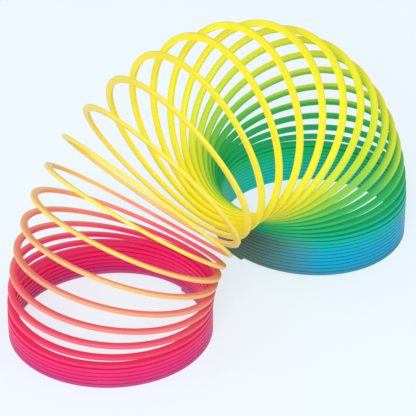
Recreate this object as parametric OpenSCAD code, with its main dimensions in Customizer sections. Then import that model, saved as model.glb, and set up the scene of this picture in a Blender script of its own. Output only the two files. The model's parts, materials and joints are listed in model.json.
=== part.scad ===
// Spring coil toy: one flat plastic strip wound into a springy coil, standing as an arch.
// A closed stack of turns stands at each end, and the turns between fan out over the top.
// The strip is built turn by turn. Each turn is cut where it passes the inside of the arch,
// because that is where the strip twists when the arch folds and unfolds.

/* [Strip] */
// Outside diameter of the coil
coil_od = 75; // [70:1:90]
// Width of the strip, from the inside of the coil to the outside
strip_w = 2.6; // [2.4:0.1:3]
// Thickness of the strip, along the coil
strip_h = 1.33; // [1.1:0.01:1.33]
// Distance from one closed turn to the next
pitch = 1.47; // [1.46:0.01:1.5]
// Which way the strip winds
winding = -1; // [-1:left, 1:right]

/* [Turns] */
// Turns in the closed near stack
near_turns = 5; // [4:1:5]
// Turns that fan out into the arch
arch_turns = 26; // [25:1:26]
// Turns in the closed far stack
far_turns = 9; // [8:1:9]

/* [Bend of the arch] */
// Turn at which the arch starts to bend
bend_starts = 4.6; // [4.2:0.1:5]
// Turn at which the near side has its full bend
bend_full = 9.3; // [9:0.1:10]
// Turn at which the arch bends most sharply
bend_peak = 18.6; // [18:0.1:20]
// Turn at which the bend starts to die away
bend_eases = 24.4; // [24:0.1:25]
// Turn at which the arch has stopped bending
bend_ends = 30.6; // [30:0.1:31]
// Bend per turn where it is sharpest, relative to the near side
peak_bend = 1.9; // [1.8:0.01:2]
// Bend per turn where it starts to die away, relative to the near side
ease_bend = 1.06; // [1:0.01:1.2]

/* [Spacing of the fan] */
// Share of the pitch by which the fan's turns are squeezed at the inside of the arch
squeeze = 0.04; // [0:0.01:0.05]
// Turns between which the fan hangs more loosely
hang_from = 8.3; // [7:0.1:9]
hang_to = 20.2; // [19:0.1:21]
// Share of the pitch that the loosest turns stand further apart
hang_gap = 0.79; // [0.75:0.01:1]
// Sideways slip from one turn to the next on the near side
slip_near = -0.3; // [-0.4:0.01:-0.2]
// Sideways slip from one turn to the next at the top
slip_top = 0.46; // [0.35:0.01:0.5]
// Sideways slip from one turn to the next on the far side
slip_far = 0.81; // [0.75:0.01:0.9]

/* [Feet] */
// Share of each end turn that lies flat on the table
foot_flat = 0.75; // [0.6:0.05:0.8]

/* [Quality] */
// Straight pieces that make up one turn
steps = 40; // [24:4:48]

/* [Hidden] */
turns = near_turns + arch_turns + far_turns;
mean_r = (coil_od - strip_w) / 2;
last = turns * steps;
fan = bend_ends - bend_starts;
hang_middle = (hang_from + hang_to) / 2;
hang_reach = (hang_to - hang_from) / 2;

// Straight-line ramps through the values v at the turns t, level outside them
function ramps(s, t, v, k = 0) =
    s <= t[k] ? v[k]
    : k == len(t) - 1 ? v[k]
    : s < t[k + 1] ? v[k] + (v[k + 1] - v[k]) * (s - t[k]) / (t[k + 1] - t[k])
    : ramps(s, t, v, k + 1);

// Relative bend per turn at turn s
bend_turns = [bend_starts, bend_full, bend_peak, bend_eases, bend_ends];
function bend_rate(s) = ramps(s, bend_turns, [0, 1, peak_bend, ease_bend, 0]);

// Distance between turns at the inside of the arch
function hang(s) =
    abs(s - hang_middle) < hang_reach ? (1 + cos(180 * (s - hang_middle) / hang_reach)) / 2 : 0;
function inner_pitch(s) =
    pitch * (1 + hang_gap * hang(s)
             - squeeze * ramps(s, [bend_starts, bend_full, bend_eases, bend_ends], [0, 1, 1, 0]));

// Sideways slip per turn, set at each quarter of the fan
slip_turns = [for (q = [0:4]) bend_starts + fan * q / 4];
function slip_rate(s) = ramps(s, slip_turns, [0, slip_near, slip_top, slip_far, 0]);

// Running total of a list
function running(v) = [for (i = 0, t = 0; i < len(v); t = t + v[i], i = i + 1) t];

// Middle of each straight piece, in turns
mid = [for (i = [0:last]) (i + 0.5) / steps];

// Tilt of the turns, from 0 in the near stack to 180 degrees in the far one
bend_sum = running([for (s = mid) bend_rate(s)]);
tilt = [for (b = bend_sum) 180 * b / bend_sum[last]];
tilt_mid = [for (i = [0:last]) (tilt[i] + tilt[min(i + 1, last)]) / 2];

// Line of the coil's outer edge along the inside of the arch, where the turns rest on each other
run = running([for (i = [0:last])
               (inner_pitch(mid[i]) * sin(tilt_mid[i]) - slip_rate(mid[i]) * cos(tilt_mid[i])) / steps]);
rise = running([for (i = [0:last])
                (inner_pitch(mid[i]) * cos(tilt_mid[i]) + slip_rate(mid[i]) * sin(tilt_mid[i])) / steps]);

// The far stack's turns share out the height that is left, so that it stands on the same table
first_far = (near_turns + arch_turns) * steps;
far_step = rise[first_far] / (last - first_far);
far_pitch = far_step * steps;
half_span = run[last] / 2 + coil_od / 2;

function inner_z(i) =
    strip_h / 2 + (i <= first_far ? rise[i] : rise[first_far] - far_step * (i - first_far));
function inner_x(i) = run[i] + coil_od / 2 - half_span;

// End turns: the first part lies flat, and the rest climbs by a full pitch
function climb(f) = f < foot_flat ? 0 : (1 - cos(180 * (f - foot_flat) / (1 - foot_flat))) / 2;
function flatten(s, len) = s >= len ? 0 : (climb(s - floor(s)) - (s - floor(s))) * (1 - s / len);
function foot(i) =
    pitch * flatten(i / steps, near_turns) - far_pitch * flatten((last - i) / steps, far_turns);

// Corner of the strip's section at ring i: radial and axial place from -1 to 1
function corner(i, radial, axial) =
    let (a = 360 * i / steps, t = tilt[i], out = (mean_r + radial * strip_w / 2) * cos(a) - coil_od / 2,
         n = axial * strip_h / 2 + foot(i))
    [inner_x(i) + out * cos(t) + n * sin(t),
     winding * (mean_r + radial * strip_w / 2) * sin(a),
     inner_z(i) - out * sin(t) + n * cos(t)];

section = [[-1, -1], [1, -1], [1, 1], [-1, 1]];

// Rainbow along the strip, from the near foot to the far foot
rainbow = [[0.79, 0.10, 0.42], [0.90, 0.11, 0.36], [0.93, 0.30, 0.38], [0.96, 0.62, 0.30],
           [0.97, 0.85, 0.18], [0.96, 0.91, 0.15], [0.85, 0.88, 0.15], [0.40, 0.73, 0.25],
           [0.05, 0.62, 0.38], [0.10, 0.60, 0.60], [0.16, 0.58, 0.75]];
function shade(f) =
    let (p = f * (len(rainbow) - 1), k = min(floor(p), len(rainbow) - 2))
    rainbow[k] * (k + 1 - p) + rainbow[k + 1] * (p - k);

// One turn of the strip, closed at both cuts
module turn(k) {
    first = (k - 1) * steps;
    pts = [for (i = [first:first + steps], q = section) corner(i, q[0], q[1])];
    sides = [for (i = [0:steps - 1], q = [0:3])
             let (a = 4 * i + q, b = 4 * i + (q + 1) % 4)
             each [[a, a + 4, b + 4], [a, b + 4, b]]];
    caps = [[0, 1, 2], [0, 2, 3],
            [4 * steps, 4 * steps + 2, 4 * steps + 1], [4 * steps, 4 * steps + 3, 4 * steps + 2]];
    faces = [for (f = concat(sides, caps)) winding > 0 ? f : [f[0], f[2], f[1]]];
    color(shade((k - 0.5) / turns)) polyhedron(pts, faces, convexity = 6);
}

module near_turn(k) turn(k);
module arch_turn(k) turn(near_turns + k);
module far_turn(k) turn(near_turns + arch_turns + k);

function numbered(name, k) = str(name, "_", k < 10 ? "0" : "", k);

for (k = [1:near_turns]) near_turn(k);
for (k = [1:arch_turns]) arch_turn(k);
for (k = [1:far_turns]) far_turn(k);
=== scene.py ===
"""Looks of the spring coil toy: one glossy rainbow strip, drawn turn by turn over the CAD turns."""
import json
import math

import bpy
from mathutils import Matrix, Vector


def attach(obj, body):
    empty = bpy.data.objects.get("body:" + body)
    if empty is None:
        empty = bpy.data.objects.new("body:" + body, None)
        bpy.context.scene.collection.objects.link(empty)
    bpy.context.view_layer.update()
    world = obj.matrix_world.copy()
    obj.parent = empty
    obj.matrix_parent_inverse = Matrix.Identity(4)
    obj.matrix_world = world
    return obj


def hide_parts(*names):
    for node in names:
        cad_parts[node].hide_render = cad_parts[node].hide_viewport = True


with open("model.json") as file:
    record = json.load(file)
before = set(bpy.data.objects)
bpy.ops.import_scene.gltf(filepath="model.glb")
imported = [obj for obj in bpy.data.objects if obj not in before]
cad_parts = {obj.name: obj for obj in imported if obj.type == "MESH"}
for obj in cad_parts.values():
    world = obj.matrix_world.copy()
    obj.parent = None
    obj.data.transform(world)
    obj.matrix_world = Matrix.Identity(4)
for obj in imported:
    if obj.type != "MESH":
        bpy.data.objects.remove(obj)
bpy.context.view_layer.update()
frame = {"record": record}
MM = 0.001

# ---- the coil's own numbers, as in part.scad (millimetres and turns) ----
COIL_OD, STRIP_W, STRIP_H, PITCH = 75.0, 2.6, 1.33, 1.47
NEAR_TURNS, ARCH_TURNS, FAR_TURNS = 5, 26, 9
BEND_AT = (4.6, 9.3, 18.6, 24.4, 30.6)        # begins, full, sharpest, easing, ended
BEND = (0.0, 1.0, 1.9, 1.06, 0.0)             # relative bend per turn there
SQUEEZE = 0.04                                # share of the pitch lost at the inside of the fan
HANG_FROM, HANG_TO = 8.3, 20.2                # turns between which the fan hangs more loosely
HANG_GAP = 0.79                               # share of the pitch that its loosest turns gain
SLIP = (0.0, -0.3, 0.46, 0.81, 0.0)           # mm of sideways slip per turn, at quarters of the fan
FOOT_FLAT = 0.75                              # share of each end turn that lies flat on the table
WIND = -1                                     # 1 or -1: which way the strip winds

TURNS = NEAR_TURNS + ARCH_TURNS + FAR_TURNS
MEAN_R = (COIL_OD - STRIP_W) / 2
FINE = 180                                    # rings that draw one turn
LAST = TURNS * FINE
FIRST_FAR = (NEAR_TURNS + ARCH_TURNS) * FINE
OUTER_ROUND, INNER_ROUND = 0.30, 0.10         # rounding of the strip's edges, mm


def along(s, at, values):
    """Straight-line ramps through values at given places; the end values hold outside."""
    if s <= at[0]:
        return values[0]
    for s0, s1, v0, v1 in zip(at, at[1:], values, values[1:]):
        if s < s1:
            return v0 + (v1 - v0) * (s - s0) / (s1 - s0)
    return values[-1]


def inner_pitch(s):
    """Distance between turns at the inside of the arch."""
    fan = along(s, (BEND_AT[0], BEND_AT[1], BEND_AT[3], BEND_AT[4]), (0, 1, 1, 0))
    middle, reach = (HANG_FROM + HANG_TO) / 2, (HANG_TO - HANG_FROM) / 2
    hang = (1 + math.cos(math.pi * (s - middle) / reach)) / 2 if abs(s - middle) < reach else 0
    return PITCH * (1 + HANG_GAP * hang - SQUEEZE * fan)


def coil_line():
    """Tilt of the turns (radians) and the coil's outer edge along the inside of the arch, ring by ring."""
    quarters = [BEND_AT[0] + (BEND_AT[4] - BEND_AT[0]) * q / 4 for q in range(5)]
    mids = [(i + 0.5) / FINE for i in range(LAST + 1)]
    bend_sum = [0.0]
    for s in mids[:-1]:
        bend_sum.append(bend_sum[-1] + along(s, BEND_AT, BEND))
    tilt = [math.pi * b / bend_sum[-1] for b in bend_sum]
    run, rise = [0.0], [0.0]
    for i, s in enumerate(mids[:-1]):
        t = (tilt[i] + tilt[i + 1]) / 2
        step, slip = inner_pitch(s) / FINE, along(s, quarters, SLIP) / FINE
        run.append(run[-1] + step * math.sin(t) - slip * math.cos(t))
        rise.append(rise[-1] + step * math.cos(t) + slip * math.sin(t))
    far_step = rise[FIRST_FAR] / (LAST - FIRST_FAR)
    half_span = run[-1] / 2 + COIL_OD / 2
    x = [r + COIL_OD / 2 - half_span for r in run]
    z = [STRIP_H / 2 + (rise[i] if i <= FIRST_FAR else rise[FIRST_FAR] - far_step * (i - FIRST_FAR))
         for i in range(LAST + 1)]
    return tilt, x, z, far_step * FINE, half_span


TILT, INNER_X, INNER_Z, FAR_PITCH, HALF_SPAN = coil_line()


def climb(f):
    """Climb of an end turn after a share f of it, as a share of the pitch: flat, then a smooth rise."""
    return 0 if f < FOOT_FLAT else (1 - math.cos(math.pi * (f - FOOT_FLAT) / (1 - FOOT_FLAT))) / 2


def flatten(s, length):
    """Shift, as a share of the pitch, that lays a stack's end turn flat and fades out over the stack."""
    return 0 if s >= length else (climb(s % 1) - s % 1) * (1 - s / length)


def strip_point(ring, radial, axial):
    """Point of the strip at a ring, in metres, from its place across the section in mm."""
    turn = ring / FINE
    angle, tilt, radius = 2 * math.pi * turn, TILT[ring], MEAN_R + radial
    foot = PITCH * flatten(turn, NEAR_TURNS) - FAR_PITCH * flatten(TURNS - turn, FAR_TURNS)
    out = radius * math.cos(angle) - COIL_OD / 2
    lift = axial + foot
    return Vector((INNER_X[ring] + out * math.cos(tilt) + lift * math.sin(tilt),
                   WIND * radius * math.sin(angle),
                   INNER_Z[ring] - out * math.sin(tilt) + lift * math.cos(tilt))) * MM


def rounded_section(corner_steps=3):
    """Outline of the strip's section in mm: a flat band whose outer edges are the rounder ones."""
    outline = []
    for quarter, (sx, sy) in enumerate(((1, -1), (1, 1), (-1, 1), (-1, -1))):
        r = OUTER_ROUND if sx > 0 else INNER_ROUND
        x, y = sx * (STRIP_W / 2 - r), sy * (STRIP_H / 2 - r)
        for k in range(corner_steps + 1):
            a = math.pi / 2 * (quarter - 1 + k / corner_steps)
            outline.append((x + r * math.cos(a), y + r * math.sin(a)))
    return outline


SECTION = rounded_section()


def outermost(turn):
    """0 where the turn passes the inside of the arch, 1 at its outermost part."""
    return (1 - math.cos(2 * math.pi * turn)) / 2


def dye_turn(turn, across):
    """Turn whose colour shows at this place round the turn and across the strip."""
    lag = along(turn, LAG_AT, LAG_INSIDE) * along(outermost(turn), LAG_FADES, (1, 0))
    lead = along(turn, LEAD_AT, LEAD_OUTSIDE) * along(outermost(turn), LEAD_GROWS, (0, 1))
    return turn - lag + lead * across


def painted_shade_share(turn):
    """How much painted shade lies on the far stack's blue here, olive from a painted reflection of the
    yellow turns above: most on the inside of the arch.
    """
    return along(turn, PAINTED_SHADE_AT, (0, 1)) * along(outermost(turn), PAINTED_SHADE_FADES, (1, 0))


def turn_faces():
    """Faces of one turn: four-sided ones along its sides, then its two square ends."""
    count = len(SECTION)
    faces = []
    for ring in range(FINE):
        for corner in range(count):
            a, b = count * ring + corner, count * ring + (corner + 1) % count
            faces.append((a, b, b + count, a + count))
    faces.append(tuple(reversed(range(count))))
    faces.append(tuple(range(count * FINE, count * FINE + count)))
    return [tuple(reversed(face)) for face in faces] if WIND > 0 else faces


def paint(mesh, name, values):
    """Store one number for each vertex, for the material to read."""
    mesh.attributes.new(name, "FLOAT", "POINT").data.foreach_set("value", values)


def turn_mesh(name, k):
    """Turn k of the strip, counted from 1, as a closed mesh that carries its dye and its painted shade."""
    rings = range((k - 1) * FINE, k * FINE + 1)
    mesh = bpy.data.meshes.new(name)
    mesh.from_pydata([strip_point(ring, *corner) for ring in rings for corner in SECTION], [], turn_faces())
    for face in mesh.polygons:
        face.use_smooth = len(face.vertices) == 4
    ends = set(mesh.polygons[-1].edge_keys) | set(mesh.polygons[-2].edge_keys)
    for edge in mesh.edges:
        edge.use_edge_sharp = edge.key in ends
    shares = [(radial + STRIP_W / 2) / STRIP_W for radial, axial in SECTION]
    places = [(ring / FINE, share) for ring in rings for share in shares]
    paint(mesh, "dye", [dye_turn(turn, share) / TURNS for turn, share in places])
    paint(mesh, "across", [share for turn, share in places])
    # Share of painted shade and painted reflection at each vertex, most on the inside of the far stack's
    # arch.
    paint(mesh, "painted_shade", [painted_shade_share(turn) for turn, share in places])
    return mesh


# ---- the rainbow plastic ----
# The colour lags, leads or takes a painted shade by the turn, and then fades or grows with outermost(turn).
LAG_AT, LAG_INSIDE = (6, 9, 13, 15), (0, 2.1, 2.8, 0.3)     # both in turns
LAG_FADES = (0, 1 / 3)
LEAD_AT = (10, 12, 14, 18, 22, 25, 28)
LEAD_OUTSIDE = (0, 1.2, 0, 0, -3.0, -5.5, 0)                # turns, on the outer face
LEAD_GROWS = (0.44, 0.84)
# Painted shade and a painted reflection of the yellow turns above, on the inside of the far stack's arch:
PAINTED_SHADE_AT, PAINTED_SHADE_FADES = (27, 31), (0, 0.19)
PAINTED_SHADE = (0.08, 0.155, 0.125)                   # olive grey: painted shade, tinged by a painted reflection of the yellow turns above
ROUGHNESS, SPECULAR = 0.32, 0.15
COAT, COAT_ROUGHNESS = 0.05, 0.12
GRAIN_SCALE, GRAIN_DETAIL = 900.0, 3.0        # waves per metre, octaves
GRAIN_STRENGTH, GRAIN_DEPTH = 0.03, 0.0001    # share of the bump that shows, metres
OUTSIDE = (                                   # turn, base colour of the outer face
    (0.0, (0.52, 0.045, 0.185)),
    (2.0, (0.68, 0.02, 0.16)),
    (6.0, (0.80, 0.03, 0.13)),
    (7.0, (0.76, 0.08, 0.16)),
    (8.5, (0.78, 0.22, 0.18)),
    (10.5, (0.84, 0.44, 0.17)),
    (11.5, (0.85, 0.49, 0.14)),
    (13.0, (0.84, 0.64, 0.09)),
    (17.0, (0.78, 0.70, 0.02)),
    (19.5, (0.76, 0.69, 0.025)),
    (21.4, (0.55, 0.65, 0.03)),
    (23.3, (0.19, 0.55, 0.07)),
    (24.9, (0.03, 0.46, 0.11)),
    (28.0, (0.0, 0.39, 0.17)),
    (30.0, (0.0, 0.40, 0.32)),
    (33.0, (0.0, 0.35, 0.49)),
    (37.0, (0.0, 0.31, 0.51)),
    (40.0, (0.03, 0.21, 0.33)),
)
INSIDE = (                                    # turn, base colour of the inner face
    (0.0, (0.48, 0.09, 0.22)),
    (2.0, (0.56, 0.01, 0.13)),
    (5.0, (0.76, 0.01, 0.11)),
    (8.5, (0.84, 0.01, 0.11)),
    (10.0, (0.84, 0.12, 0.13)),
    (11.5, (0.92, 0.30, 0.14)),
    (13.5, (0.94, 0.66, 0.10)),
    (16.0, (0.94, 0.77, 0.012)),
    (19.8, (0.90, 0.82, 0.02)),
    (22.1, (0.55, 0.70, 0.03)),
    (24.0, (0.17, 0.51, 0.05)),
    (25.6, (0.03, 0.40, 0.06)),
    (28.0, (0.0, 0.42, 0.09)),
    (31.0, (0.0, 0.48, 0.16)),
    (35.0, (0.0, 0.49, 0.34)),
    (40.0, (0.0, 0.47, 0.40)),
)


def rainbow_plastic():
    """Glossy moulded plastic whose colour runs through the rainbow along the strip."""
    mat = bpy.data.materials.new("rainbow_plastic")
    mat.use_nodes = True
    nt = mat.node_tree
    bsdf = nt.nodes["Principled BSDF"]

    def node(kind, **inputs):
        made = nt.nodes.new(kind)
        for key, value in inputs.items():
            made.inputs[key].default_value = value
        return made

    def attribute(name):
        made = nt.nodes.new("ShaderNodeAttribute")
        made.attribute_name = name
        return made.outputs["Fac"]

    def ramp(colours, place):
        made = nt.nodes.new("ShaderNodeValToRGB")
        stops = made.color_ramp.elements
        while len(stops) > 1:
            stops.remove(stops[-1])
        stops[0].position, stops[0].color = 0, (*colours[0][1], 1)
        for turn, colour in colours[1:]:
            stops.new(turn / TURNS).color = (*colour, 1)
        nt.links.new(place, made.inputs["Fac"])
        return made.outputs["Color"]

    def mix(share, a, b):
        made = nt.nodes.new("ShaderNodeMix")
        made.data_type = "RGBA"
        nt.links.new(share, made.inputs["Factor"])
        nt.links.new(a, made.inputs["A"])
        nt.links.new(b, made.inputs["B"])
        return made.outputs["Result"]

    place = attribute("dye")
    rainbow = mix(attribute("across"), ramp(INSIDE, place), ramp(OUTSIDE, place))
    # Painted shade: mixes the inside of the far stack's arch towards olive grey, for shade and a reflection
    # of the yellow turns above.
    with_painted_shade = mix(attribute("painted_shade"), rainbow, ramp(((0.0, PAINTED_SHADE),), place))
    nt.links.new(with_painted_shade, bsdf.inputs["Base Color"])

    coords = nt.nodes.new("ShaderNodeTexCoord")
    grain = node("ShaderNodeTexNoise", Scale=GRAIN_SCALE, Detail=GRAIN_DETAIL)
    nt.links.new(coords.outputs["Object"], grain.inputs["Vector"])
    bump = node("ShaderNodeBump", Strength=GRAIN_STRENGTH, Distance=GRAIN_DEPTH)
    nt.links.new(grain.outputs["Fac"], bump.inputs["Height"])
    nt.links.new(bump.outputs["Normal"], bsdf.inputs["Normal"])

    bsdf.inputs["Roughness"].default_value = ROUGHNESS
    bsdf.inputs["Specular IOR Level"].default_value = SPECULAR
    bsdf.inputs["Coat Weight"].default_value = COAT
    bsdf.inputs["Coat Roughness"].default_value = COAT_ROUGHNESS
    return mat


def build_strip():
    """One drawn piece for each CAD turn, which it replaces and whose body it rides on."""
    plastic = rainbow_plastic()
    bodies = frame["record"]["behaviour"]["bodies"]
    body_of = {node: body for body, nodes in bodies.items() for node in nodes}
    parts = (("near", NEAR_TURNS), ("arch", ARCH_TURNS), ("far", FAR_TURNS))
    names = [f"{part}_turn_{number:02d}" for part, turns in parts for number in range(1, turns + 1)]
    for k, node_name in enumerate(names, start=1):
        piece = bpy.data.objects.new(f"strip_{node_name}", turn_mesh(f"strip_{node_name}", k))
        bpy.context.scene.collection.objects.link(piece)
        piece.data.materials.append(plastic)
        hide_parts(node_name)
        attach(piece, body_of[node_name])


# ---- stage: floor, light, camera ----
PALE_BLUE = (0.865, 0.94, 1.0, 1)
FLOOR_COLOUR, FLOOR_ROUGHNESS, FLOOR_GLOW = (0.20, 0.21, 0.22, 1), 0.9, 0.755
FLOOR_HALF = 3.0                              # metres, from the middle to each side
WORLD_STRENGTH = 0.72
LIGHTS = (                                    # name, place, aim and width in metres, watts
    ("key", (-0.80, -0.60, 0.70), (0, 0, 0.03), 0.5, 8),
    ("fill", (0.5, -0.9, 0.8), (0, 0, 0.04), 0.7, 2),
    ("edge", (-0.85, 0.45, 0.40), (-0.05, 0, 0.06), 0.4, 1.3),
)


def build_floor():
    """A plain pale floor, which glows so that shadows on it stay faint."""
    corners = [(x * FLOOR_HALF, y * FLOOR_HALF, 0) for x, y in ((-1, -1), (1, -1), (1, 1), (-1, 1))]
    mesh = bpy.data.meshes.new("floor")
    mesh.from_pydata(corners, [], [(0, 1, 2, 3)])
    floor = bpy.data.objects.new("floor", mesh)
    bpy.context.scene.collection.objects.link(floor)
    mat = bpy.data.materials.new("pale_floor")
    mat.use_nodes = True
    bsdf = mat.node_tree.nodes["Principled BSDF"]
    bsdf.inputs["Base Color"].default_value = FLOOR_COLOUR
    bsdf.inputs["Roughness"].default_value = FLOOR_ROUGHNESS
    bsdf.inputs["Emission Color"].default_value = PALE_BLUE
    bsdf.inputs["Emission Strength"].default_value = FLOOR_GLOW
    floor.data.materials.append(mat)


def area_light(name, location, target, size, watts):
    """A round soft light that points at target."""
    light = bpy.data.lights.new(name, "AREA")
    light.shape, light.size, light.energy = "DISK", size, watts
    lamp = bpy.data.objects.new(name, light)
    lamp.location = location
    lamp.rotation_euler = (Vector(target) - Vector(location)).to_track_quat("-Z", "Y").to_euler()
    bpy.context.scene.collection.objects.link(lamp)


def build_light():
    """Pale light from all round, and the soft lights of LIGHTS."""
    world = bpy.data.worlds.new("studio")
    bpy.context.scene.world = world
    world.use_nodes = True
    background = world.node_tree.nodes["Background"]
    background.inputs["Color"].default_value = PALE_BLUE
    background.inputs["Strength"].default_value = WORLD_STRENGTH
    for light in LIGHTS:
        area_light(*light)


# Camera: looks down and along the arch from the near stack's front
VIEW_TURN, VIEW_DOWN, VIEW_ROLL = 0.751, 0.554, -0.001       # radians
VIEW_DISTANCE, VIEW_LENS, SENSOR = 792.4, 184.8, 36          # mm
AIM_IN, AIM_UP = 50, 40                                     # mm, in from the near end, and up
VIEW_SHIFT = (-0.90, -8.17)                                 # mm, right and up from there in the view
CLIP = (0.05, 20)                                           # metres


def build_camera():
    """The camera, from its turn, its downward tilt and the point that it aims at."""
    right = Vector((math.cos(VIEW_TURN), -math.sin(VIEW_TURN), 0))
    ahead = Vector((math.sin(VIEW_TURN) * math.cos(VIEW_DOWN), math.cos(VIEW_TURN) * math.cos(VIEW_DOWN),
                    -math.sin(VIEW_DOWN)))
    up = right.cross(ahead)
    aim = Vector((AIM_IN - HALF_SPAN, 0, AIM_UP)) + VIEW_SHIFT[0] * right + VIEW_SHIFT[1] * up
    place = aim - VIEW_DISTANCE * ahead
    c, s = math.cos(VIEW_ROLL), math.sin(VIEW_ROLL)
    right, up = right * c + up * s, up * c - right * s
    camera_data = bpy.data.cameras.new("camera")
    camera_data.sensor_width = SENSOR
    camera_data.lens = VIEW_LENS
    camera_data.clip_start, camera_data.clip_end = CLIP
    camera = bpy.data.objects.new("camera", camera_data)
    basis = Matrix((right, up, -ahead)).transposed().to_4x4()
    basis.translation = place * MM
    camera.matrix_world = basis
    bpy.context.scene.collection.objects.link(camera)
    bpy.context.scene.camera = camera


build_camera()
build_strip()
build_floor()
build_light()
bpy.context.scene.view_settings.view_transform = "Standard"
